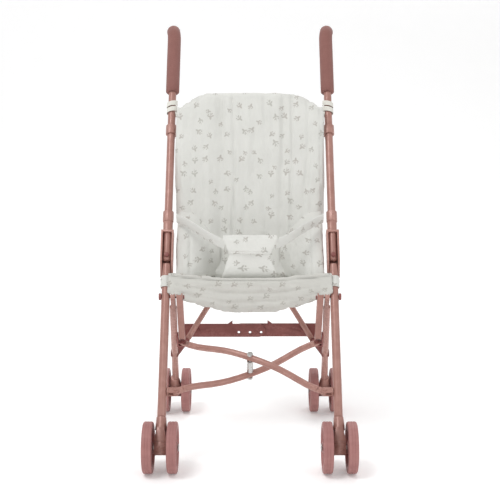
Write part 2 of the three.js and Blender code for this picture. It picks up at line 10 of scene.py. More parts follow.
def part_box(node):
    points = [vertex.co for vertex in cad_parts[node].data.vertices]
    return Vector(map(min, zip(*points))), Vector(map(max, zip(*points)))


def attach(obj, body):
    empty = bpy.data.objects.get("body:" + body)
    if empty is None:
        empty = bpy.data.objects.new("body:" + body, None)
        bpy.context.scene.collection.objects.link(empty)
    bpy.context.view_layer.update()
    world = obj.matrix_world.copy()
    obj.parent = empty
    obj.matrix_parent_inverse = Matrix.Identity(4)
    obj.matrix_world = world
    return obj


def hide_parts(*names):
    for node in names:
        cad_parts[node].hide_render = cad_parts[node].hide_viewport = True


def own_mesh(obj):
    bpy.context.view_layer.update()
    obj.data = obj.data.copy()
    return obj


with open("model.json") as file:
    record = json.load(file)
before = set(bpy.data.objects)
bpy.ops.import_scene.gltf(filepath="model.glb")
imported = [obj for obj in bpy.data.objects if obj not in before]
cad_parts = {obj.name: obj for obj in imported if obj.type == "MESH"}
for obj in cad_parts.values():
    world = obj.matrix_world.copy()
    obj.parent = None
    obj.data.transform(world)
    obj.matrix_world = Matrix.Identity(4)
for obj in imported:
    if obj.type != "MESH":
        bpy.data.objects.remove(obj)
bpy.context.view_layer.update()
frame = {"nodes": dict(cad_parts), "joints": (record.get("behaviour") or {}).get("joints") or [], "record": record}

JOINTS = {j["name"]: j for j in frame["joints"]}
BODIES = frame["record"]["behaviour"]["bodies"]
BODY_OF = {node: body for body, nodes in BODIES.items() for node in nodes}
SLOT_OF = {p["node"]: p["material_slot"] for p in frame["record"]["subparts"]}
AXLE = Vector((0, *JOINTS["left_front_wheel_spin"]["pos_m"][1:]))
PIVOT = Vector((0, *JOINTS["fold"]["pos_m"][1:]))
UP = (PIVOT - AXLE).normalized()  # up along the push tubes
BACKWARD = Vector((0, UP.z, -UP.y))  # square to the tubes, towards the rear and the floor
FRAME_X = abs(JOINTS["fold"]["pos_m"][0])
MM = 0.001
SIDES = (("left", -1), ("right", 1))


def place(x, y, z):
    """A point in millimetres, with y counted from the front axle and z from the floor."""
    return Vector((x * MM, AXLE.y + y * MM, z * MM))


def along(x, y, s):
    """A point in millimetres in the side frames' own axes: s runs up the tubes, y to the back."""
    return Vector((x * MM, 0, 0)) + AXLE + BACKWARD * (y * MM) + UP * (s * MM)


# ---------------------------------------------------------------- camera, lights and floor
# The camera stands in front of the stroller and looks slightly down, in metres and radians.
CAMERA_AWAY, CAMERA_HEIGHT, CAMERA_TILT = 1.3, 0.4836, 0.15094
CAMERA_LENS, CAMERA_SENSOR, CAMERA_REACH = 76.9, 36, 50
SKY_STRENGTH = 0.68
# name, place, aim, diameter and watts of each lamp
LAMPS = (
    ("key", (-1.1, -1.0, 2.5), (0, 0, 0.28), 1.1, 27),
    ("fill", (1.9, -1.7, 1.3), (0, 0, 0.25), 1.2, 8),
    ("rim", (0.4, 1.6, 2.2), (0, 0, 0.3), 1.2, 14),
)
# the floor's near and far edge, half width, and the radius and top of the backdrop it runs up into
FLOOR_NEAR, FLOOR_FAR, FLOOR_WIDE = -14.0, 2.2, 14.0
BACKDROP_RADIUS, BACKDROP_TOP, BACKDROP_STEPS = 1.2, 4.0, 12
FLOOR_WHITE, FLOOR_GLOW = 0.93, 0.16


def add_camera():
    cam = bpy.data.objects.new("camera", bpy.data.cameras.new("camera"))
    bpy.context.scene.collection.objects.link(cam)
    cam.location = (0, AXLE.y - CAMERA_AWAY, CAMERA_HEIGHT)
    cam.rotation_euler = (math.pi / 2 - CAMERA_TILT, 0, 0)
    cam.data.sensor_width = CAMERA_SENSOR
    cam.data.lens = CAMERA_LENS
    cam.data.clip_end = CAMERA_REACH
    bpy.context.scene.camera = cam


def add_lamp(name, location, target, size, energy):
    light = bpy.data.lights.new(name, "AREA")
    light.shape = "DISK"
    light.size = size
    light.energy = energy
    obj = bpy.data.objects.new(name, light)
    bpy.context.scene.collection.objects.link(obj)
    obj.location = location
    obj.rotation_euler = (Vector(target) - Vector(location)).to_track_quat("-Z", "Y").to_euler()


def floor_material():
    material = bpy.data.materials.new("floor_white")
    material.use_nodes = True
    shader = material.node_tree.nodes["Principled BSDF"]
    shader.inputs["Base Color"].default_value = (FLOOR_WHITE, FLOOR_WHITE, FLOOR_WHITE, 1)
    shader.inputs["Roughness"].default_value = 0.9
    shader.inputs["Specular IOR Level"].default_value = 0.1
    shader.inputs["Emission Color"].default_value = (1, 1, 1, 1)
    shader.inputs["Emission Strength"].default_value = FLOOR_GLOW
    return material


def add_floor():
    """A floor that runs up into a backdrop behind the object."""
    profile = [(FLOOR_NEAR, 0.0), (FLOOR_FAR, 0.0)]
    for i in range(1, BACKDROP_STEPS + 1):
        a = math.pi / 2 * i / BACKDROP_STEPS
        profile.append((FLOOR_FAR + BACKDROP_RADIUS * math.sin(a), BACKDROP_RADIUS * (1 - math.cos(a))))
    profile.append((FLOOR_FAR + BACKDROP_RADIUS, BACKDROP_TOP))
    verts = [(x, y, z) for y, z in profile for x in (-FLOOR_WIDE, FLOOR_WIDE)]
    faces = [(2 * i, 2 * i + 1, 2 * i + 3, 2 * i + 2) for i in range(len(profile) - 1)]
    mesh = bpy.data.meshes.new("floor")
    mesh.from_pydata(verts, [], faces)
    for f in mesh.polygons:
        f.use_smooth = True
    floor = bpy.data.objects.new("floor", mesh)
    bpy.context.scene.collection.objects.link(floor)
    mesh.materials.append(floor_material())


def add_studio():
    scene = bpy.context.scene
    scene.view_settings.view_transform = "Standard"
    world = bpy.data.worlds.new("studio")
    scene.world = world
    world.use_nodes = True
    sky = world.node_tree.nodes["Background"]
    sky.inputs["Color"].default_value = (1, 1, 1, 1)
    sky.inputs["Strength"].default_value = SKY_STRENGTH
    for lamp in LAMPS:
        add_lamp(*lamp)
    add_floor()


# ---------------------------------------------------------------- materials
def linear(r, g, b):
    """An sRGB colour of 0 to 255 as linear RGBA."""
    out = [c / 255 / 12.92 if c <= 10 else ((c / 255 + 0.055) / 1.055) ** 2.4 for c in (r, g, b)]
    return (*out, 1.0)


class Graph:
    """Builds a node material: every input may be a number, a colour or another node's output."""

    def __init__(self, name):
        self.material = bpy.data.materials.new(name)
        self.material.use_nodes = True
        self.tree = self.material.node_tree
        self.shader = self.tree.nodes["Principled BSDF"]

    def set(self, socket, value):
        if isinstance(value, bpy.types.NodeSocket):
            self.tree.links.new(value, socket)
        else:
            socket.default_value = value

    def node(self, kind, inputs=None, **props):
        made = self.tree.nodes.new("ShaderNode" + kind)
        for key, value in props.items():
            setattr(made, key, value)
        for key, value in (inputs or {}).items():
            self.set(made.inputs[key], value)
        return made

    def math(self, operation, a, b=0.0, c=0.0, clamp=False):
        return self.node("Math", {0: a, 1: b, 2: c}, operation=operation, use_clamp=clamp).outputs[0]

    def vector(self, operation, a, b=(0, 0, 0)):
        made = self.node("VectorMath", {0: a, 1: b}, operation=operation)
        return made.outputs["Value" if operation in ("LENGTH", "DOT_PRODUCT") else "Vector"]

    def ramp(self, value, low, high, to_low=0.0, to_high=1.0, kind="SMOOTHSTEP"):
        inputs = {"Value": value, "From Min": low, "From Max": high, "To Min": to_low, "To Max": to_high}
        return self.node("MapRange", inputs, interpolation_type=kind).outputs["Result"]

    def mix(self, factor, a, b):
        made = self.node("Mix", data_type="RGBA")
        for key, value in (("Factor", factor), ("A", a), ("B", b)):
            found = [s for s in made.inputs if s.name == key and s.enabled]
            self.set(found[0], value)
        return [s for s in made.outputs if s.enabled][0]

    def noise(self, vector, scale, detail=2.0, roughness=0.5):
        inputs = {"Vector": vector, "Scale": scale, "Detail": detail, "Roughness": roughness}
        return self.node("TexNoise", inputs).outputs["Fac"]

    def bump(self, height, distance, strength=1.0, normal=None):
        inputs = {"Height": height, "Distance": distance, "Strength": strength}
        if normal is not None:
            inputs["Normal"] = normal
        return self.node("Bump", inputs).outputs["Normal"]

    def turn(self, vector, angle):
        inputs = {"Vector": vector, "Angle": angle}
        return self.node("VectorRotate", inputs, rotation_type="Z_AXIS").outputs[0]

    def position(self):
        return self.node("TexCoord").outputs["Object"]


def painted(name, base, light, roughness, metallic):
    """Satin powder coat: slight mottling, fine orange peel and lighter worn edges."""
    g = Graph(name)
    p = g.position()
    mottle = g.noise(p, 90, 3)
    tint = g.mix(g.ramp(mottle, 0.35, 0.7), linear(*base), linear(*light))
    edge = g.node("NewGeometry").outputs["Pointiness"]
    worn = g.math("MULTIPLY", g.ramp(edge, 0.53, 0.60), g.ramp(g.noise(p, 420, 2), 0.35, 0.65))
    pale = [min(255, c + 26) for c in light]
    g.set(g.shader.inputs["Base Color"], g.mix(g.math("MULTIPLY", worn, 0.5), tint, linear(*pale)))
    rough = g.ramp(g.noise(p, 260, 2), 0.3, 0.7, roughness - 0.05, roughness + 0.07)
    g.set(g.shader.inputs["Roughness"], rough)
    g.shader.inputs["Metallic"].default_value = metallic
    g.shader.inputs["Specular IOR Level"].default_value = 0.45
    g.set(g.shader.inputs["Normal"], g.bump(g.noise(p, 1500, 1), 0.00004, 0.6))
    return g.material


def moulded(name, base, light):
    """Matte moulded plastic with fine spark texture and faint flow marks."""
    g = Graph(name)
    p = g.position()
    flow = g.noise(g.vector("MULTIPLY", p, (40, 140, 140)), 1.0, 3)
    g.set(g.shader.inputs["Base Color"], g.mix(g.ramp(flow, 0.3, 0.7), linear(*base), linear(*light)))
    g.set(g.shader.inputs["Roughness"], g.ramp(g.noise(p, 300, 2), 0.3, 0.7, 0.5, 0.62))
    g.shader.inputs["Specular IOR Level"].default_value = 0.4
    g.set(g.shader.inputs["Normal"], g.bump(g.noise(p, 2600, 1), 0.00005, 0.5))
    return g.material


def foam(name):
    """Soft foam grip: fine open cells, no gloss, and painted shade that darkens the pores."""
    g = Graph(name)
    p = g.position()
    cells = g.node("TexVoronoi", {"Vector": p, "Scale": 1100.0}, feature="F1").outputs["Distance"]
    pores = g.ramp(cells, 0.15, 0.75)
    mottle = g.ramp(g.noise(p, 120, 3), 0.3, 0.7)
    tone = g.mix(mottle, linear(146, 101, 94), linear(158, 113, 105))
    # painted shade: darkest at the middle of each cell, where the bump is lowest, as if shade fell into the pores
    pore_shade = g.math("MULTIPLY", pores, 0.35)
    g.set(g.shader.inputs["Base Color"], g.mix(pore_shade, linear(132, 90, 84), tone))
    g.shader.inputs["Roughness"].default_value = 0.82
    g.shader.inputs["Specular IOR Level"].default_value = 0.25
    g.shader.inputs["Sheen Weight"].default_value = 0.12
    g.set(g.shader.inputs["Normal"], g.bump(cells, 0.00022, 0.6))
    return g.material


def zinc(name):
    """Bright zinc plate with fine turning marks and dull patches."""
    g = Graph(name)
    p = g.position()
    lines = g.noise(g.vector("MULTIPLY", p, (3000, 500, 500)), 1.0, 2)
    tone = g.mix(g.noise(p, 500, 2), linear(188, 188, 186), linear(214, 214, 212))
    g.set(g.shader.inputs["Base Color"], tone)
    g.set(g.shader.inputs["Roughness"], g.ramp(g.noise(p, 700, 2), 0.3, 0.7, 0.22, 0.42))
    g.shader.inputs["Metallic"].default_value = 1.0
    g.set(g.shader.inputs["Normal"], g.bump(lines, 0.00003, 0.5))
    return g.material


CLOTH = "cloth"  # flat position on the cloth, in metres
SPRIG_SPACING = 0.0215  # metres
SPRIG_STRENGTH = 0.62  # of the ink over the cloth
SPRIG_SCALE = (1.35, 2.0)  # smallest and largest sprig, as a multiple of the drawing below, in mm
# the leaves and stalk of one sprig: middle, half width and half length, and lean in degrees
SPRIG = (
    ((0.0, 1.7), (0.62, 1.35), 0.0),
    ((-1.25, 0.35), (0.5, 1.15), 62.0),
    ((1.25, 0.5), (0.5, 1.15), -58.0),
    ((-0.9, -1.35), (0.42, 0.85), 40.0),
    ((0.0, -0.9), (0.17, 2.1), 0.0),
    ((1.55, -1.15), (0.45, 0.45), 0.0),
)
WEAVE = 0.0009  # metres from thread to thread


def printed(g, flat, ground):
    """The ground colour with sprigs scattered over the cloth, each one turned and sized by its cell."""
    cell = g.node(
        "TexVoronoi",
        {"Vector": flat, "Scale": 1 / SPRIG_SPACING, "Randomness": 0.75},
        feature="F1",
        voronoi_dimensions="2D",
    )
    offset = g.vector("SUBTRACT", flat, cell.outputs["Position"])
    dice = g.node("SeparateColor", {"Color": cell.outputs["Color"]}).outputs
    turned = g.turn(offset, g.math("MULTIPLY", dice["Red"], 2 * math.pi))
    size = g.ramp(dice["Green"], 0.0, 1.0, *SPRIG_SCALE, "LINEAR")
    zoom = g.math("DIVIDE", 1000.0, size)
    local = g.node("VectorMath", {0: turned, "Scale": zoom}, operation="SCALE").outputs[0]
    drawing = None
    for middle, (half_width, half_length), lean in SPRIG:
        spun = g.turn(g.vector("SUBTRACT", local, (*middle, 0)), math.radians(lean))
        scaled = g.vector("MULTIPLY", spun, (1 / half_width, 1 / half_length, 0))
        leaf = g.ramp(g.vector("LENGTH", scaled), 0.75, 1.55, 1.0, 0.0)
        drawing = leaf if drawing is None else g.math("MAXIMUM", drawing, leaf)
    threads = g.ramp(g.noise(flat, 1500, 2), 0.25, 0.6, 0.55, 1.0)
    faded = g.math("MULTIPLY", g.math("MULTIPLY", drawing, threads), SPRIG_STRENGTH)
    ink = g.mix(dice["Blue"], linear(152, 150, 141), linear(150, 140, 132))
    return g.mix(faded, ground, ink)


def cotton(name, sprigs=True, tone=(214, 214, 209)):
    """Off-white crinkled cotton with a small scattered leaf print."""
    g = Graph(name)
    flat = g.node("Attribute", attribute_name=CLOTH).outputs["Vector"]
    shade = g.ramp(g.noise(g.position(), 28, 3), 0.3, 0.7)
    ground = g.mix(shade, linear(*[c - 4 for c in tone]), linear(*tone))
    colour = printed(g, flat, ground) if sprigs else ground
    g.set(g.shader.inputs["Base Color"], colour)
    g.shader.inputs["Roughness"].default_value = 0.88
    g.shader.inputs["Specular IOR Level"].default_value = 0.2
    g.shader.inputs["Sheen Weight"].default_value = 0.18
    g.shader.inputs["Sheen Roughness"].default_value = 0.5
    # plain weave
    xy = g.node("SeparateXYZ", {"Vector": flat}).outputs
    step = 2 * math.pi / WEAVE
    warp = g.math("SINE", g.math("MULTIPLY", xy["X"], step))
    weft = g.math("SINE", g.math("MULTIPLY", xy["Y"], step))
    weave = g.math("MULTIPLY", g.math("ADD", warp, weft), 0.25)
    # crinkles, longer up the cloth than across
    crinkle = g.noise(g.vector("MULTIPLY", flat, (260, 110, 1)), 1.0, 3, 0.6)
    broad = g.noise(g.vector("MULTIPLY", flat, (70, 26, 1)), 1.0, 2)
    first = g.bump(weave, 0.00012, 0.35)
    second = g.bump(crinkle, 0.0011, 0.55, first)
    g.set(g.shader.inputs["Normal"], g.bump(broad, 0.003, 0.4, second))
    return g.material


MATERIALS = {
    "frame_paint": painted("frame_paint", (161, 117, 107), (170, 127, 117), 0.34, 0.1),
    "brace_paint": painted("brace_paint", (128, 75, 71), (138, 83, 78), 0.44, 0.1),
    "wheel_plastic": moulded("wheel_plastic", (157, 108, 105), (166, 117, 113)),
    "grip_foam": foam("grip_foam"),
    "zinc": zinc("zinc"),
    "fabric": cotton("printed_cotton"),
    # a lighter copy of the cloth for the seat pan, centre pad and flap: painted light, making up for the shade in
    # the seat's hollow
    "painted_light_fabric": cotton("printed_cotton_painted_light", tone=(221, 221, 216)),
    # a darker copy of the cloth for the front band: painted shade, for its front that faces down out of the light
    "shaded_fabric": cotton("printed_cotton_painted_shade", tone=(202, 201, 195)),
    "tape": cotton("plain_cotton", sprigs=False, tone=(222, 220, 212)),
}


# ---------------------------------------------------------------- mesh helpers
def make_object(name, verts, faces, material):
    mesh = bpy.data.meshes.new(name)
    mesh.from_pydata([tuple(v) for v in verts], [], faces)
    mesh.validate()
    mesh.polygons.foreach_set("use_smooth", [True] * len(mesh.polygons))
    mesh.materials.append(MATERIALS[material])
    obj = bpy.data.objects.new(name, mesh)
    bpy.context.scene.collection.objects.link(obj)
    return obj


def fix_normals(obj):
    bm = bmesh.new()
    bm.from_mesh(obj.data)
    bmesh.ops.recalc_face_normals(bm, faces=bm.faces)
    bm.to_mesh(obj.data)
    bm.free()


def sharpen(obj, degrees):
    """Edges steeper than this stay crisp; the rest shade smooth."""
    bm = bmesh.new()
    bm.from_mesh(obj.data)
    for f in bm.faces:
        f.smooth = True
    for e in bm.edges:
        e.smooth = not (e.is_manifold and e.calc_face_angle(0) > math.radians(degrees))
    bm.to_mesh(obj.data)
    bm.free()


def stands_for(obj, *nodes, body=None, slot=None):
    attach(obj, body or BODY_OF[nodes[0]])
    if nodes:
        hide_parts(*nodes)
    return obj


SAME_POINT, SAME_PLANE = 2e-6, math.radians(0.6)  # for cleaning the CAD mesh before its edges are rounded
HARD_EDGE, CRISP_EDGE = math.radians(30), math.radians(42)  # rounded from here, and shaded sharp from here


def softened(node, width):
    """A machined or cast piece: the CAD shape with its hard edges rounded, by a width in millimetres."""
    bm = bmesh.new()
    bm.from_mesh(frame["nodes"][node].data)
    bmesh.ops.remove_doubles(bm, verts=bm.verts, dist=SAME_POINT)
    bmesh.ops.dissolve_limit(bm, angle_limit=SAME_PLANE, verts=bm.verts, edges=bm.edges)
    sharp = [e for e in bm.edges if e.is_manifold and e.calc_face_angle(0) > HARD_EDGE]
    bmesh.ops.bevel(
        bm,
        geom=sharp,
        offset=width * MM,
        offset_type="OFFSET",
        segments=2,
        profile=0.6,
        affect="EDGES",
        clamp_overlap=True,
    )
    for f in bm.faces:
        f.smooth = True
    for e in bm.edges:
        e.smooth = not (e.is_manifold and e.calc_face_angle(0) > CRISP_EDGE)
    mesh = bpy.data.meshes.new(node + "_finished")
    bm.to_mesh(mesh)
    bm.free()
    mesh.materials.append(MATERIALS[SLOT_OF[node]])
    obj = bpy.data.objects.new(node + "_finished", mesh)
    bpy.context.scene.collection.objects.link(obj)
    return stands_for(obj, node)


def revolve(name, centre, axis, profile, segments, material, closed=False):
    """Turns a profile of (radius, distance along axis) in millimetres about an axis through centre."""
    axis = Vector(axis).normalized()
    side = axis.orthogonal().normalized()
    other = axis.cross(side)
    verts, faces, rings = [], [], []
    for r, a in profile:
        base = Vector(centre) + axis * (a * MM)
        if r < 1e-6:
            rings.append([len(verts)])
            verts.append(base)
            continue
        ring = []
        for i in range(segments):
            t = 2 * math.pi * i / segments
            ring.append(len(verts))
            verts.append(base + (side * math.cos(t) + other * math.sin(t)) * (r * MM))
        rings.append(ring)
    pairs = list(zip(rings, rings[1:]))
    if closed:
        pairs.append((rings[-1], rings[0]))
    for a, b in pairs:
        for i in range(segments):
            j = (i + 1) % segments
            if len(a) == 1 and len(b) > 1:
                faces.append((a[0], b[j], b[i]))
            elif len(b) == 1 and len(a) > 1:
                faces.append((a[i], a[j], b[0]))
            elif len(a) > 1:
                faces.append((a[i], a[j], b[j], b[i]))
    obj = make_object(name, verts, faces, material)
    fix_normals(obj)
    sharpen(obj, 40)
    return obj


def rod_ends(node):
    """The two end points and the radius of a straight round CAD piece."""
    co = np.array([v.co for v in frame["nodes"][node].data.vertices], float)
    middle = co.mean(0)
    direction = np.linalg.svd(co - middle, full_matrices=False)[2][0]
    t = (co - middle) @ direction
    low, high = co[t < t.min() + 1e-4].mean(0), co[t > t.max() - 1e-4].mean(0)
    if low[2] > high[2]:
        low, high = high, low
    axis = (high - low) / np.linalg.norm(high - low)
    off = (co - low) - np.outer((co - low) @ axis, axis)
    return Vector(low), Vector(high), float(np.linalg.norm(off, axis=1).max()) / MM


def round_bar(node, low_round, high_round):
    """A straight tube whose two ends are rounded, by radii in millimetres."""
    low, high, r = rod_ends(node)
    length = (high - low).length / MM
    angles = [math.pi / 2 * i / 6 for i in range(7)]

    def corner(q, at, sign):
        return [(r - q + q * math.sin(a), at + sign * q * (1 - math.cos(a))) for a in angles]

    profile = [(0, 0)] + corner(low_round, 0, 1)
    profile += [(r, length * k / 8) for k in range(1, 8)]
    profile += corner(high_round, length, -1)[::-1] + [(0, length)]
    return stands_for(revolve(node + "_tube", low, high - low, profile, 48, SLOT_OF[node]), node)


def direction_at(path, i):
    return (path[min(i + 1, len(path) - 1)] - path[max(i - 1, 0)]).normalized()


def tube_faces(rings, n):
    """Faces between rings of n points each, with a flat face over the first ring and the last."""
    faces = []
    for i in range(rings - 1):
        for k in range(n):
            faces.append((i * n + k, i * n + (k + 1) % n, (i + 1) * n + (k + 1) % n, (i + 1) * n + k))
    faces.append(tuple(reversed(range(n))))
    faces.append(tuple((rings - 1) * n + k for k in range(n)))
    return faces


def sweep(name, path, radii, material, segments):
    """A round bar along a path, with a radius in millimetres at each of its points."""
    side = direction_at(path, 0).orthogonal()
    verts = []
    for i, (p, r) in enumerate(zip(path, radii)):
        t = direction_at(path, i)
        side = (side - t * side.dot(t)).normalized()
        up = t.cross(side)
        for k in range(segments):
            a = 2 * math.pi * k / segments
            verts.append(p + side * (r * MM * math.cos(a)) + up * (r * MM * math.sin(a)))
    obj = make_object(name, verts, tube_faces(len(path), segments), material)
    fix_normals(obj)
    return obj


def smooth_path(controls, count):
    """A smooth curve, of count points, through the control points."""
    pts = [Vector(c) for c in controls]
    pts = [pts[0] * 2 - pts[1]] + pts + [pts[-1] * 2 - pts[-2]]
    out = []
    spans = len(pts) - 3
    for i in range(count):
        u = i / (count - 1) * spans
        k = min(int(u), spans - 1)
        t = u - k
        a, b, c, d = pts[k : k + 4]
        out.append(
            0.5
            * (
                2 * b
                + (c - a) * t
                + (2 * a - 5 * b + 4 * c - d) * t * t
                + (3 * b - a - 3 * c + d) * t * t * t
            )
        )
    return out


# ---------------------------------------------------------------- wheels, axles and grips
def build_wheel(node):
    """A moulded wheel: hub, dished disc, rounded rim and a tread with a groove round its middle."""
    low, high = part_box(node)
    r = (high.z - low.z) / 2 / MM
    half = (high.x - low.x) / 2 / MM
    profile = [
        (2.9, -half + 0.3),
        (6.6, -half + 0.3),
        (7.6, -half + 0.8),
        (8.2, -half + 3.2),
        (9.0, -half + 3.7),
        (12.5, -half + 3.9),
        (22.6, -half + 3.5),
        (23.6, -half + 3.0),
        (24.4, -half + 1.1),
        (25.2, -half + 0.35),
        (28.0, -half),
        (30.6, -half + 0.15),
        (32.1, -half + 0.8),
        (r - 0.1, -half + 2.2),
        (r, -half + 3.2),
        (r, -2.2),
        (r - 0.35, -1.9),
        (r - 0.35, -1.5),
        (r, -1.2),
        (r, 0),
    ]
    # the second half mirrors the first
    profile += [(a, -b) for a, b in reversed(profile[:-1])]
    centre = (low + high) / 2
    wheel = revolve(node + "_moulded", centre, (1, 0, 0), profile, 112, "wheel_plastic", closed=True)
    stands_for(wheel, node)


# the grip, in millimetres: where its straight part starts and ends up the tube, and its radius
GRIP_START, GRIP_STRAIGHT, GRIP_R = 525.4, 622.0, 9.75
# its hook's turn, bend radius, straight tail, and how far it leans outwards
HOOK_TURN, HOOK_R, HOOK_TAIL, HOOK_SPREAD = math.radians(68), 20.0, 11.0, 2.5
GRIP_LIP, GRIP_DOME = 1.6, 9.6  # rounding of its lower end and length of its domed end
GRIP_STEPS, LIP_STEPS, DOME_STEPS = 90, 6, 14


def build_grip(side, mirror):
    """A foam grip over the top of the tube, with a hooked end that points backwards."""
    node = side + "_grip"
    x = FRAME_X / MM
    start = along(mirror * x, 0, GRIP_START)
    end = along(mirror * x, 0, GRIP_STRAIGHT)
    controls = [start, start.lerp(end, 0.5), along(mirror * x, 0, GRIP_STRAIGHT - 6)]
    for i in range(1, 7):
        a = HOOK_TURN * i / 6
        back, rise = HOOK_R * (1 - math.cos(a)), GRIP_STRAIGHT + HOOK_R * math.sin(a)
        controls.append(along(mirror * (x + HOOK_SPREAD * i / 6), back, rise))
    end_dir = (BACKWARD * math.sin(HOOK_TURN) + UP * math.cos(HOOK_TURN)).normalized()
    controls.append(controls[-1] + end_dir * (HOOK_TAIL * MM))
    middle = smooth_path(controls, GRIP_STEPS)
    up, out = (middle[1] - middle[0]).normalized(), (middle[-1] - middle[-2]).normalized()
    # rounded lower lip, faint waves in the foam and a domed end
    path, radii = [], []
    for k in range(LIP_STEPS):
        q = math.sin(math.pi / 2 * k / LIP_STEPS)
        path.append(middle[0] + up * (GRIP_LIP * MM * q))
        radii.append(GRIP_R - GRIP_LIP * (1 - q))
    for i, p in enumerate(middle[3:]):
        path.append(p)
        radii.append(GRIP_R + 0.12 * math.sin((i + 3) / 10))
    for k in range(1, DOME_STEPS + 1):
        a = math.pi / 2 * k / DOME_STEPS
        path.append(middle[-1] + out * (GRIP_DOME * MM * math.sin(a)))
        radii.append(max(0.25, GRIP_R * math.cos(a)))
    grip = sweep(node + "_foam", path, radii, "grip_foam", 40)
    sharpen(grip, 50)
    stands_for(grip, node)


# in millimetres: half the gap between the wheels, and the height over the axle where the widening starts
BLOCK_HALF, BLOCK_TOP, BLOCK_BLEND = 7.9, 22.0, 8.0
BLOCK_CORE = 0.35  # share of the half width that stays as it is


def widen_block(block):
    """Fills the gap between the wheels below the tube."""
    co = vertices_of(block)
    middle = (co[:, 0].min() + co[:, 0].max()) / 2
    off = co[:, 0] - middle
    below = np.clip((AXLE.z + BLOCK_TOP * MM - co[:, 2]) / (BLOCK_BLEND * MM), 0, 1)
    wide = np.where(np.abs(off) > BLOCK_CORE * np.abs(off).max(), np.sign(off) * BLOCK_HALF * MM, off)
    co[:, 0] = middle + off * (1 - below) + wide * below
    put_vertices(block, co)


# how far the hard edges of each side's cast, pressed and flattened pieces are rounded, in millimetres
EDGES = {
    "strut": 0.4,
    "strut_clevis": 0.3,
    "low_bracket": 0.3,
    "back_clevis": 0.3,
    "lock_gusset": 0.35,
}
MIDDLE_EDGES = {"lower_bar_upper": 0.3, "lower_bar_under": 0.3, "lower_bolt": 0.35, "back_rivet": 0.3}


def repaint(piece, paint):
    piece.data.materials[0] = MATERIALS[paint]


def build_hard_parts():
    for side, mirror in SIDES:
        for end in ("front", "rear"):
            build_wheel(f"{side}_{end}_wheel_outer")
            build_wheel(f"{side}_{end}_wheel_inner")
            softened(f"{side}_{end}_axle", 0.5)
            widen_block(softened(f"{side}_{end}_block", 0.7))
        build_grip(side, mirror)
        round_bar(side + "_front_tube", 0.8, 0.8)
        round_bar(side + "_push_tube", 3.5, 0.5)
        softened(side + "_rear_tube", 0.5)
        softened(side + "_mid_joint", 0.5)
        repaint(softened(side + "_mid_screw", 0.3), "brace_paint")
        softened(side + "_pivot_bolt", 0.6)
        repaint(softened(side + "_back_lug", 0.4), "frame_paint")
        for name, width in EDGES.items():
            softened(f"{side}_{name}", width)
        softened("lock_bar_" + side, 0.3)
        softened("back_bar_" + side, 0.3)
    for name, width in MIDDLE_EDGES.items():
        softened(name, width)


def crumples(obj):
    """Gives the cloth its own copy of its mesh."""
    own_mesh(obj)


def shell(name, front, back, nu, nv, material="fabric"):
    """A closed body between two surfaces, each a function of u and v from 0 to 1."""
    verts, faces = [], []
    for surface in (front, back):
        for j in range(nv + 1):
            for i in range(nu + 1):
                verts.append(surface(i / nu, j / nv))
    size = (nu + 1) * (nv + 1)

    def at(layer, i, j):
        return layer * size + j * (nu + 1) + i

    for j in range(nv):
        for i in range(nu):
            faces.append((at(0, i, j), at(0, i + 1, j), at(0, i + 1, j + 1), at(0, i, j + 1)))
            faces.append((at(1, i, j), at(1, i, j + 1), at(1, i + 1, j + 1), at(1, i + 1, j)))
    rim = [(i, 0) for i in range(nu)] + [(nu, j) for j in range(nv)]
    rim += [(i, nv) for i in range(nu, 0, -1)] + [(0, j) for j in range(nv, 0, -1)]
    for (i, j), (k, m) in zip(rim, rim[1:] + rim[:1]):
        faces.append((at(0, i, j), at(1, i, j), at(1, k, m), at(0, k, m)))
    obj = make_object(name, verts, faces, material)
    fix_normals(obj)
    return obj


def bake(obj):
    """Replaces the mesh by what its modifiers make of it."""
    dg = bpy.context.evaluated_depsgraph_get()
    made = bpy.data.meshes.new_from_object(obj.evaluated_get(dg))
    obj.modifiers.clear()
    old = obj.data
    obj.data = made
    bpy.data.meshes.remove(old)


def mesh_points(mesh, what="co"):
    values = np.empty(len(mesh.vertices) * 3)
    mesh.vertices.foreach_get(what, values)
    return values.reshape(-1, 3)


def vertices_of(obj):
    return mesh_points(obj.data)


def put_vertices(obj, co):
    obj.data.vertices.foreach_set("co", np.asarray(co, dtype=np.float32).ravel())
    obj.data.update()


def smooth_shading(obj):
    obj.data.polygons.foreach_set("use_smooth", [True] * len(obj.data.polygons))


def swell(obj, pressure, cap, frames):
    """Runs the cloth under pressure and moves each point as it did, at most cap millimetres."""
    scene = bpy.context.scene
    rest = vertices_of(obj)
    cloth = obj.modifiers.new("cloth", "CLOTH")
    settings = cloth.settings
    settings.quality = 6
    settings.mass = 0.2
    settings.tension_stiffness = 18
    settings.compression_stiffness = 18
    settings.shear_stiffness = 8
    settings.bending_stiffness = 0.4
    settings.use_pressure = True
    settings.uniform_pressure_force = pressure
    settings.effector_weights.gravity = 0
    cloth.point_cache.frame_start = 1
    cloth.point_cache.frame_end = frames
    for f in range(1, frames + 1):
        scene.frame_set(f)
    evaluated = obj.evaluated_get(bpy.context.evaluated_depsgraph_get())
    shift = mesh_points(evaluated.to_mesh()) - rest
    evaluated.to_mesh_clear()
    obj.modifiers.clear()
    scene.frame_set(1)
    far = np.linalg.norm(shift, axis=1, keepdims=True)
    shift *= np.minimum(1.0, cap * MM / np.maximum(far, 1e-9))
    put_vertices(obj, rest + shift)


def stuff(obj, voxel, pressure, cap, frames):
    """Turns a closed body into stuffed cloth. The voxel and the furthest move are in millimetres."""
    remesh = obj.modifiers.new("remesh", "REMESH")
    remesh.mode = "VOXEL"
    remesh.voxel_size = voxel * MM
    bake(obj)
    smooth_shading(obj)
    swell(obj, pressure, cap, frames)
    smoother = obj.modifiers.new("smooth", "SUBSURF")
    smoother.levels = smoother.render_levels = 1
    bake(obj)
    smooth_shading(obj)


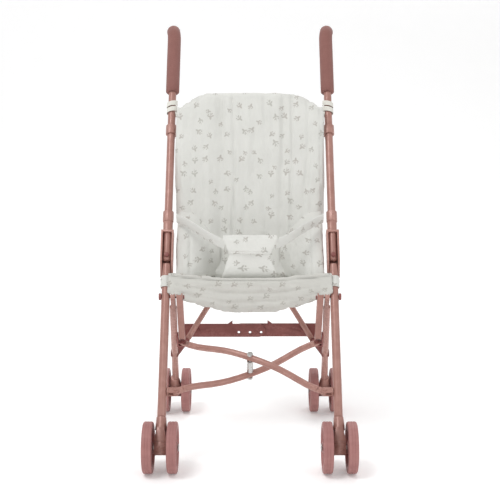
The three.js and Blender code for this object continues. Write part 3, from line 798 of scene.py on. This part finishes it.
def work(obj, move):
    """Moves each point by what move(point in mm from the front axle, normal) gives, in mm."""
    co = vertices_of(obj)
    out = co.copy()
    for i, (p, n) in enumerate(zip(co, mesh_points(obj.data, "normal"))):
        out[i] += np.array(move((p[0] / MM, (p[1] - AXLE.y) / MM, p[2] / MM), n)) * MM
    put_vertices(obj, out)


def along_normal(n, k):
    return (n[0] * k, n[1] * k, n[2] * k)


def share(value, low, high):
    """How far value is from low to high, from 0 to 1."""
    return max(0.0, min(1.0, (value - low) / (high - low)))


def store_flat(obj, flat):
    attribute = obj.data.attributes.get(CLOTH) or obj.data.attributes.new(CLOTH, "FLOAT_VECTOR", "POINT")
    values = np.array([(a, b, 0.0) for a, b in flat], dtype=np.float32)
    attribute.data.foreach_set("vector", values.ravel())


def lay_flat(obj, mapping):
    """Stores each point's place on the flat cloth, for the weave and the print."""
    store_flat(obj, [mapping(p) for p in vertices_of(obj)])


def dent(x, centre, width, pore_shade):
    """A groove along a line: how far it lowers the surface, as a negative number."""
    return -pore_shade * math.exp(-(((x - centre) / width) ** 2))


def rear_face(node):
    """Heights and rear y of the rows of a CAD piece, in mm; folding bars pass close behind it."""
    rows = {}
    for _, y, z in vertices_of(frame["nodes"][node]):
        height = round(z / MM, 1)
        rows[height] = max(rows.get(height, -math.inf), (y - AXLE.y) / MM)
    heights = sorted(rows)
    return heights, [rows[height] for height in heights]


def wave(x, y, z, seed):
    """Smooth noise from -1 to 1; each seed gives another one."""
    return noise.noise(Vector((x, y, z)) + Vector((seed * 7.3, seed * 3.1, seed * 1.7)))


# the back pad's half width, front y and z up its height
BACK_ROWS = (
    (66, 164, 214),
    (74, 174, 232),
    (93, 185.5, 258),
    (109, 196, 300),
    (113.5, 212, 345),
    (113.5, 229, 400),
    (113.5, 245, 448),
    (111, 255, 469),
    (107, 260, 482),
)
BACK_LOW, BACK_HIGH = 214, 478  # what the folds run between
BACK_THIN, BACK_THICK = 5.4, 10.4  # at the edges and in the middle, before the pad swells
BACK_FORWARD = 3.8  # the rows above, less this, is where the pad starts to swell from
CORNER_DROP = 27  # how far the upper corners lie under the top
# the pad's edges are drawn in past this distance across, and never by more than the room to the tubes
PAD_EDGE, PAD_ROOM = 101.0, 5.2
# heights, and how far in front of the CAD pad's rear the cloth stays there, for the back bars as they fold
BAR_HEIGHTS, BAR_ROOM = (262, 300, 340), (10.0, 6.0, 3.4)
# soft folds that run up the back: place across, half width and depth; the side to the middle is steeper
CHANNELS = (
    (-74, 4, 2.0),
    (-42, 11, 6.2),
    (-37, 2, 2.4),
    (-24, 2.4, 4.6),
    (-8, 5, 1.4),
    (20, 4, 1.6),
    (47, 11, 6.0),
    (61, 2.4, 3.0),
    (80, 4, 2.0),
)
EDGE_SEAM, TOP_SEAM = 100, 474  # x and z of the seams along the edges


def row_at(rows, v):
    """The row at share v of the way up a list of rows, with values between the two nearest ones."""
    k = min(int(v * (len(rows) - 1)), len(rows) - 2)
    t = v * (len(rows) - 1) - k
    return [a + (b - a) * t for a, b in zip(rows[k], rows[k + 1])]


def back_surface(behind):
    """The front or rear face of the back pad."""

    def at(u, v):
        half, y, z = row_at(BACK_ROWS, v)
        side = 2 * u - 1
        drop = CORNER_DROP * max(0.0, (v - 0.8) / 0.2) * abs(side) ** 4.4
        sag = 4 * (1 - side * side) * math.sin(math.pi * min(1, v * 1.05))
        middle = (1 - abs(side) ** 5) * (1 - (2 * v - 1) ** 10)
        thick = BACK_THIN + (BACK_THICK - BACK_THIN) * middle
        y += sag + (thick if behind else 0.0) - BACK_FORWARD
        return place(side * half, y - drop * 0.3, z - drop)

    return at


def back_folds(x, z):
    """Depth of the folds and edge seams at a place on the back."""
    rise = (z - BACK_LOW) / (BACK_HIGH - BACK_LOW)
    pore_shade = 0.0
    for c, w, d in CHANNELS:
        centre = c * (0.9 + 0.12 * rise) + 4.5 * wave(0.3, 0.2, z * 0.009, c)
        width = w if (x - centre) * c > 0 else 0.4 * w
        pore_shade += dent(x, centre, width, d * (0.75 + 0.25 * math.sin(rise * 5 + c)))
    for c in (-EDGE_SEAM, EDGE_SEAM):
        pore_shade += dent(x, c, 1.6, 1.3)
    return pore_shade


def build_back():
    """The back pad: swollen, then folded, and held between the tubes and clear of the back bars."""
    pad = shell("seat_back", back_surface(False), back_surface(True), 40, 52)
    heights, rear = rear_face("seat_back_pad")
    stuff(pad, 4.2, 3.0, 5.0, 18)

    def quilt(p, n):
        x, y, z = p
        beyond = max(0.0, abs(x) - PAD_EDGE)
        inwards = math.copysign(beyond - PAD_ROOM * math.tanh(beyond / PAD_ROOM), -x)
        soft = share(z, 226, 256) * share(z, 482, 470)
        pleats = 2.0 * wave(x * 0.045, 0, z * 0.007, 3) + 1.3 * wave(x * 0.11, 0, z * 0.02, 5)
        creases = 0.7 * wave(x * 0.2, 0, z * 0.07, 8) + 0.3 * wave(x * 0.5, 0, z * 0.2, 11)
        roll = dent(z, TOP_SEAM - 24 * (abs(x) / 105) ** 4.4, 1.8, 0.8)
        if n[1] < 0:
            k = (back_folds(x, z) + pleats + creases + roll) * soft
        else:
            k = (0.25 * back_folds(x, z) + 0.5 * pleats + creases) * soft
        room = np.interp(z, BAR_HEIGHTS, BAR_ROOM)
        forwards = -max(0.0, y + room - np.interp(z, heights, rear))
        return (inwards + n[0] * k * 0.5, forwards + n[1] * k, n[2] * k)

    work(pad, quilt)
    lay_flat(pad, lambda p: (p[0], p[2] * 1.1))
    stands_for(pad, "seat_back_pad")
    crumples(pad)


PAN_REAR = 177.5  # the back bars pass behind the pan as they fold
PAN_FRONT, PAN_DEPTH = 116, 58  # y of its front edge, and its length front to back
PAN_HALF, PAN_TAPER = 84, 8  # half width at the front, and how much is lost towards the rear
PAN_UNDER = 210  # below this height the cloth is the underside's
PAN_SEAMS = (-38, 0, 38)


def pan_surface(top):
    def at(u, v):
        side = 2 * u - 1
        middle = (1 - abs(side) ** 4) * (1 - (2 * v - 1) ** 4)
        lift = 5 + 8 * middle if top else -5 - 2 * middle
        height = 216 - 15 * v + lift + 6 * side * side
        return place(side * (PAN_HALF - PAN_TAPER * v), PAN_FRONT + PAN_DEPTH * v, height)

    return at


def build_pan():
    """The seat pad, with three sewn lines from front to back."""
    pad = shell("seat_pan", pan_surface(True), pan_surface(False), 34, 18, "painted_light_fabric")
    stuff(pad, 4.2, 3.0, 4.0, 16)

    def quilt(p, n):
        x, y, _ = p
        k = sum(dent(x, c, 3.0, 1.6) for c in PAN_SEAMS) + 0.9 * wave(x * 0.04, y * 0.05, 0, 2)
        k += 0.35 * wave(x * 0.2, y * 0.2, 0, 4)
        k *= 1.0 if n[2] > 0 else 0.4
        return (n[0] * k, n[1] * k - max(0.0, y - PAN_REAR), n[2] * k)

    work(pad, quilt)
    lay_flat(pad, lambda p: (p[0] + 0.07, p[1] + (0.9 if p[2] < PAN_UNDER * MM else 0)))
    stands_for(pad, "seat_pan_pad")
    crumples(pad)


# the side panels' height, front y at the push tube, and x and y of the corner with the back
WING_ROWS = (
    (222, 124, 46, 174),
    (240, 137, 42, 179),
    (258, 148, 40, 184),
    (274, 159, 46, 190),
    (288, 168, 55, 196),
    (301, 184, 66, 206),
    (313, 206, 76, 216),
)
WING_OUT, WING_FOLD = 103.5, 84  # x at the tube, and where the roll at the tube ends
ROLL_SHARE = 0.36  # of the way from the tube to the corner


def wing_middle(u, v):
    """The middle of the side panel's thickness: u from the tube to the corner, v upwards."""
    z, outer_y, inner_x, inner_y = row_at(WING_ROWS, v)
    outer, inner = Vector((WING_OUT, outer_y, z)), Vector((inner_x, inner_y, z))
    fold = Vector((max(WING_FOLD, inner_x + 3), outer_y + 1.5, z + 2 * (1 - v)))
    total = Vector()
    for i in range(9):
        w = min(1.0, max(0.0, u + (i - 4) * 0.025))
        if w < ROLL_SHARE:
            total += outer.lerp(fold, w / ROLL_SHARE)
        else:
            total += fold.lerp(inner, (w - ROLL_SHARE) / (1 - ROLL_SHARE))
    return total / 9


def wing_surface(mirror, sign):
    def at(u, v):
        du = wing_middle(min(1, u + 0.02), v) - wing_middle(max(0, u - 0.02), v)
        dv = wing_middle(u, min(1, v + 0.02)) - wing_middle(u, max(0, v - 0.02))
        half = 3.0 + 1.4 * (1 - (2 * u - 1) ** 4) * (1 - (2 * v - 1) ** 4)
        q = wing_middle(u, v) + du.cross(dv).normalized() * (sign * half)
        return place(mirror * q.x, q.y, q.z)

    return at


def build_wing(side, mirror):
    """The seat's side: a soft roll at the tube, then inwards and back to the corner of the seat."""
    wing = shell(side + "_wing", wing_surface(mirror, -1), wing_surface(mirror, 1), 34, 34)
    stuff(wing, 4.0, 2.4, 3.0, 14)

    def quilt(p, n):
        x, y, z = p
        k = 1.1 * wave(x * 0.07, y * 0.05, z * 0.03, 6 + mirror)
        k += 0.4 * wave(x * 0.2, y * 0.15, z * 0.12, 9 + mirror)
        k += dent(abs(x), WING_FOLD - 2, 1.8, 1.6) * share(z, 310, 270)
        return along_normal(n, k)

    def unfold(p):
        x, y, z = abs(p[0]) / MM, (p[1] - AXLE.y) / MM, p[2] / MM
        y -= np.interp(z, [r[0] for r in WING_ROWS], [r[1] for r in WING_ROWS]) + 1.5
        roll = WING_OUT - WING_FOLD
        across = WING_OUT - x if x > WING_FOLD else roll + math.hypot(WING_FOLD - x, y)
        return mirror * (0.3 + across * MM), p[2] * 1.18

    work(wing, quilt)
    lay_flat(wing, unfold)
    stands_for(wing, side + "_side_panel")
    crumples(wing)


BAND_HALF, BAND_Y = 111, -10  # half its length, and its middle against the front tubes
# rows across the front band: share of its height, half width as a share, depth in mm
BAND_SEAMS = ((0.83, 0.032, 4.4), (0.47, 0.035, 1.5), (0.24, 0.03, 1.1))


def band_edges(side):
    """The band's lower and upper edge, up the tubes, from -1 at the left end to 1 at the right."""
    return 187 + 19 * abs(side) ** 2.1, 231.5 + 4 * side * side


def band_surface(front):
    def at(u, v):
        side = 2 * u - 1
        low, high = band_edges(side)
        middle = (1 - abs(side) ** 6) * (1 - (2 * v - 1) ** 6)
        tuck = 30 * (1 - side * side) * (1 - v) ** 1.1
        roll = 3.0 * math.exp(-(((v - 0.93) / 0.07) ** 2)) * (1 - abs(side) ** 6)
        thick = -3.0 - 1.2 * middle - roll if front else 3.0 + 1.2 * middle
        return along(side * BAND_HALF, BAND_Y + tuck + thick, low + (high - low) * v)

    return at


def build_front_band():
    """The cloth across the front of the seat: a roll along the top, a crease and two sewn lines below."""
    # the band's cloth is the darker copy: painted shade for its downward-facing front
    band = shell("front_band", band_surface(True), band_surface(False), 56, 16, "shaded_fabric")
    stuff(band, 3.8, 2.6, 3.0, 14)

    def quilt(p, n):
        x, y, z = p
        up = (Vector((0, y * MM, z * MM)) - Vector((0, 0, AXLE.z))).dot(UP) / MM
        low, high = band_edges(x / BAND_HALF)
        k = 0.0
        if n[1] < 0.2:
            for centre, width, pore_shade in BAND_SEAMS:
                line = centre + 0.03 * wave(x * 0.02, 0, 0, centre)
                k += dent((up - low) / (high - low), line, width, pore_shade)
        k += 1.1 * wave(x * 0.03, 0, z * 0.12, 12) + 0.7 * wave(x * 0.07, y * 0.05, z * 0.3, 14)
        k += 0.3 * wave(x * 0.3, 0, z * 0.3, 17)
        return along_normal(n, k * (1 - 0.7 * abs(x / BAND_HALF) ** 6))

    work(band, quilt)
    lay_flat(band, lambda p: (p[0] + 0.16, p[2] * 1.25 - p[1] * 0.2))
    stands_for(band, "seat_front_band")
    crumples(band)


def ribbon(name, path, across, width, thick, material="fabric", uv=(0, 0)):
    """A flat strap along a path; across gives its width direction at each point. Its edges are rounded."""
    ring = []
    for k in range(16):
        a = 2 * math.pi * k / 16
        c, s = math.cos(a), math.sin(a)
        wide, high = math.copysign(abs(c) ** 0.35, c), math.copysign(abs(s) ** 0.8, s)
        ring.append((wide * width / 2, high * thick / 2))
    verts, flat = [], []
    run = 0.0
    for i, (p, wide) in enumerate(zip(path, across)):
        t = direction_at(path, i)
        w = (wide - t * wide.dot(t)).normalized()
        up = t.cross(w)
        if i:
            run += (p - path[i - 1]).length
        for a, b in ring:
            verts.append(p + w * (a * MM) + up * (b * MM))
            flat.append((uv[0] + a * MM, uv[1] + run))
    obj = make_object(name, verts, tube_faces(len(path), len(ring)), material)
    fix_normals(obj)
    sharpen(obj, 60)
    store_flat(obj, flat)
    return obj


# the waist belts' route from the push tube to the centre pad, and their width and thickness
BELT_ROUTE = ((101, 165, 305), (88, 154, 301), (68, 139, 291), (50, 126, 282), (33, 118.5, 275))
BELT_WIDTH, BELT_THICK = 13.5, 2.3


def build_belts():
    """The flat belts from the push tubes to the centre pad; they turn a little along the way."""
    for side, mirror in SIDES:
        path = smooth_path([place(mirror * x, y, z) for x, y, z in BELT_ROUTE], 40)
        outer, inner = Vector((mirror * 0.25, -0.15, 1)), Vector((mirror * 0.5, 0.1, 1))
        across = [outer.lerp(inner, i / 39) for i in range(40)]
        belt = ribbon(side + "_belt", path, across, BELT_WIDTH, BELT_THICK, uv=(mirror * 0.5, 0.2))
        stands_for(belt, side + "_waist_belt")
        crumples(belt)


CENTRE_LOW, CENTRE_TALL = 262, 27  # the centre pad's lower edge and height
CENTRE_HALF, CENTRE_FLARE = 28, 11  # its half width at the bottom, and how much wider its top is
CENTRE_Y = 116.5
CENTRE_SEAMS = ((265.5, 0.9, 0.8), (285.5, 0.9, 0.7))  # height, half width and depth
FLAP_ROUTE = ((0, 127, 222), (0, 121.5, 238), (-1, 119, 252), (0, 117.5, 268))
FLAP_WIDTH, FLAP_THICK = 54, 3.0


def centre_surface(front):
    def at(u, v):
        side = 2 * u - 1
        middle = (1 - abs(side) ** 4) * (1 - (2 * v - 1) ** 4)
        y = CENTRE_Y + (-2.6 - 1.2 * middle if front else 2.2) + 1.5 * side * side
        height = CENTRE_LOW + CENTRE_TALL * v - 1.2 * side * side * v
        return place(side * (CENTRE_HALF + CENTRE_FLARE * v), y, height)

    return at


def build_centre_pad():
    """The padded piece that the belts end in."""
    pad = shell("centre_pad", centre_surface(True), centre_surface(False), 22, 12, "painted_light_fabric")
    stuff(pad, 2.4, 2.0, 1.5, 10)

    def quilt(p, n):
        k = sum(dent(p[2], *seam) for seam in CENTRE_SEAMS)
        return along_normal(n, k + 0.5 * wave(p[0] * 0.12, 0, p[2] * 0.12, 21))

    work(pad, quilt)
    lay_flat(pad, lambda p: (p[0] + 0.61, p[2]))
    stands_for(pad, "crotch_strap")
    crumples(pad)


def build_flap():
    """The wide strap that comes up to the centre pad from between the legs."""
    path = smooth_path([place(*p) for p in FLAP_ROUTE], 24)
    across = [Vector((1, 0, 0))] * len(path)
    flap = ribbon("crotch_flap", path, across, FLAP_WIDTH, FLAP_THICK, "painted_light_fabric", uv=(0.75, 0.1))

    def pinch(p, n):
        x, _, z = p
        k = 0.8 * wave(x * 0.16, 0, z * 0.05, 24)
        flare = 0.5 * x * max(0.0, (CENTRE_LOW - z) / 40)
        return (n[0] * k + flare, n[1] * k, n[2] * k)

    work(flap, pinch)
    stands_for(flap, body="left_frame", slot="fabric")
    crumples(flap)


# the ties: where they sit up the tubes, how far they climb, their turns, radius, width and thickness
TIE_FOOT, TIE_CLIMB, TIE_TURNS, TIE_START = 488, 20, 2.15, 0.6
TIE_R, TIE_WIDTH, TIE_THICK, TIE_STEPS = 7.0, 7.5, 0.9, 90


def build_ties():
    """A tape wound twice round each push tube."""
    for side, mirror in SIDES:
        path = []
        for i in range(TIE_STEPS):
            t = i / (TIE_STEPS - 1)
            a = 2 * math.pi * TIE_TURNS * t - TIE_START
            r = TIE_R + 0.5 * t
            x = mirror * (FRAME_X / MM - r * math.cos(a))
            path.append(along(x, r * math.sin(a), TIE_FOOT + TIE_CLIMB * t + 1.4 * math.sin(a)))
        tape = ribbon(side + "_tie", path, [UP] * TIE_STEPS, TIE_WIDTH, TIE_THICK, "tape")
        stands_for(tape, side + "_tie_loop", body=side + "_frame")


SLEEVE_AT = 226  # how far up the front tubes the sleeves sit
# the sleeve's radius and place along the tube
SLEEVE = ((6.1, -7.4), (6.9, -8.4), (7.6, -7.4), (7.5, -3), (7.9, 0), (7.8, 4), (7.2, 7.4), (6.1, 7))


def build_corner_wraps():
    """The front band's ends, sewn into a sleeve round each front tube."""
    for side, mirror in SIDES:
        centre = along(mirror * FRAME_X / MM, 0, SLEEVE_AT)
        sleeve = revolve(side + "_corner", centre, UP, SLEEVE, 48, "fabric", closed=True)

        def pinch(p, n):
            return along_normal(n, 0.45 * wave(p[0] * 0.2, p[1] * 0.2, p[2] * 0.25, 31 + mirror))

        work(sleeve, pinch)
        lay_flat(sleeve, lambda q: (q[0] + 0.45 * mirror, q[2] * 1.2))
        stands_for(sleeve, body=side + "_frame", slot="fabric")


add_camera()
add_studio()
build_hard_parts()
build_back()
build_pan()
for wing_side, wing_mirror in SIDES:
    build_wing(wing_side, wing_mirror)
build_front_band()
build_belts()
build_centre_pad()
build_flap()
build_ties()
build_corner_wraps()
